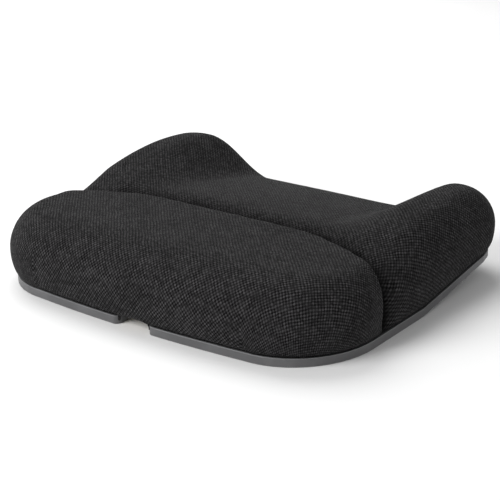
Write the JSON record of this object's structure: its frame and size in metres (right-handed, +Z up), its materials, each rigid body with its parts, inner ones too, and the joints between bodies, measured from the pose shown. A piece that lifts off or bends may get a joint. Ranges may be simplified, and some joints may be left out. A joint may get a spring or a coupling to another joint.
{
  "type": "seat cushion",
  "caption": "Wide upholstered foam seat cushion with raised side bolsters and a rolled front edge, on a moulded pan with a lever notch in the front of its rim.",
  "frame": {"origin": "middle of the bounding box in plan, on the plane the pan and its rear spacers stand on", "axes": "+X to the right of someone looking at the front edge, across the seat; +Y from the front edge to the rear; +Z up"},
  "size_m": [0.472, 0.408, 0.1049],
  "materials": {
    "cover_fabric": "coarse woven upholstery cloth, near black with a grey thread, matt",
    "pan_plastic": "moulded, fine grain, dark grey",
    "seat_foam": "moulded polyurethane foam, cream, open-celled skin",
    "listing_felt": "pressed felt strip, light grey",
    "strip_plastic": "extruded, off-white, smooth",
    "steel_wire": "drawn spring wire",
    "insert_brass": "turned, dull"
  },
  "bodies": {
    "root": {"seat_pan": "pan_plastic", "foam_core": "seat_foam", "cover_front_panel": "cover_fabric", "cover_rear_panel": "cover_fabric", "seam_listing_strip": "listing_felt", "cover_seam_wire": "steel_wire", "foam_tie_wire": "steel_wire", "hog_ring_1": "steel_wire", "hog_ring_2": "steel_wire", "hog_ring_3": "steel_wire", "hog_ring_4": "steel_wire", "hog_ring_5": "steel_wire", "hog_ring_6": "steel_wire", "hog_ring_7": "steel_wire", "hem_strip_front_right": "strip_plastic", "hem_strip_right": "strip_plastic", "hem_strip_rear": "strip_plastic", "hem_strip_left": "strip_plastic", "hem_strip_front_left": "strip_plastic", "threaded_insert_front_left": "insert_brass", "threaded_insert_front_right": "insert_brass", "threaded_insert_rear_left": "insert_brass", "threaded_insert_rear_right": "insert_brass", "spacer_rear_left": "pan_plastic", "spacer_rear_right": "pan_plastic"}
  },
  "joints": []
}
